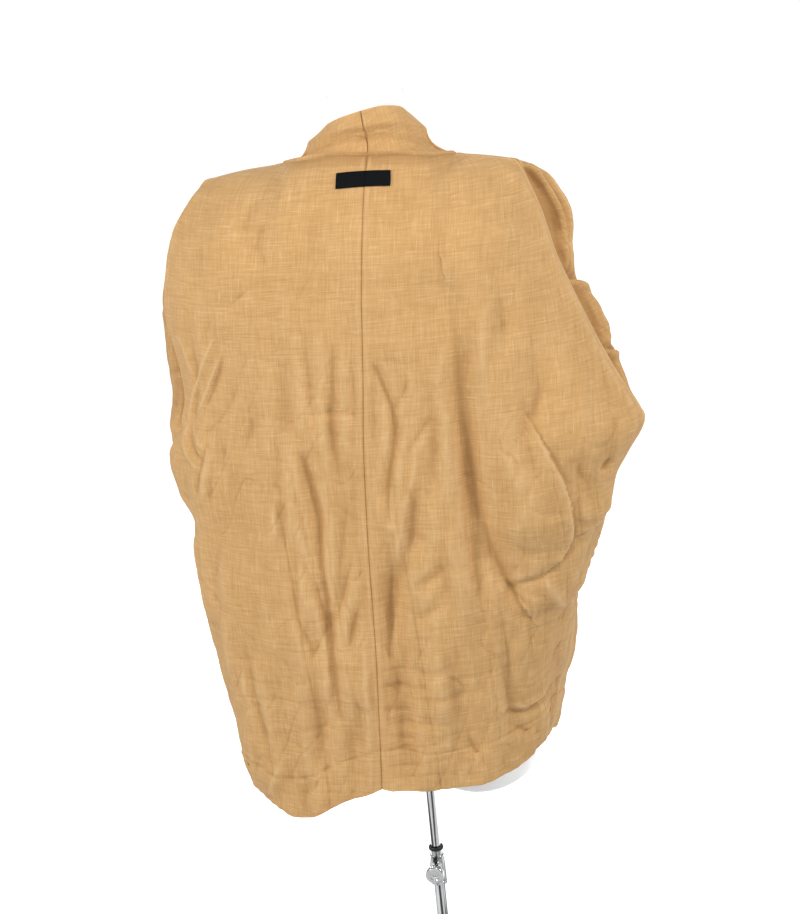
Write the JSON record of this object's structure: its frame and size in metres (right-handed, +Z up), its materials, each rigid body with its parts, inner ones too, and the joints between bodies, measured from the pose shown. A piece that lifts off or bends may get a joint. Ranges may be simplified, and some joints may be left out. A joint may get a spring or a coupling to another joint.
{
  "type": "linen jacket on a dress form with a telescopic stand",
  "caption": "Loose linen jacket with cut-in sleeves and a stand-up collar band, resting on a limbless dress form on a height-adjustable chrome stand.",
  "frame": {"origin": "centre of the base plate's underside, on the pole's axis", "axes": "+Z up along the pole, +Y out of the wearer's back, +X to the wearer's left"},
  "size_m": [0.5871, 0.31, 1.4237],
  "materials": {
    "linen": "matte plain-weave linen",
    "linen_band": "matte plain-weave linen, doubled",
    "label_cloth": "woven, matte black",
    "form_white": "smooth satin white",
    "chrome": "polished",
    "black_rubber": "matte black",
    "base_steel": "satin"
  },
  "bodies": {
    "stand": {"base": "base_steel", "lower_tube": "chrome", "bushing_ring": "black_rubber", "clamp": "chrome"},
    "torso": {"pole": "chrome", "dress_form": "form_white", "back_left": "linen", "back_right": "linen", "front_left": "linen", "front_right": "linen", "collar_left": "linen_band", "collar_right": "linen_band", "label": "label_cloth"},
    "knob": {"clamp_knob": "chrome"}
  },
  "joints": [
    {"name": "height_slide", "type": "slide", "parent": "stand", "child": "torso", "axis": [0, 0, 1], "range_m": [-0.08, 0.25]},
    {"name": "knob_turn", "type": "hinge", "parent": "stand", "child": "knob", "pos_m": [0, 0.0215, 0.458], "axis": [0, 1, 0], "range_deg": [0, 360]}
  ]
}
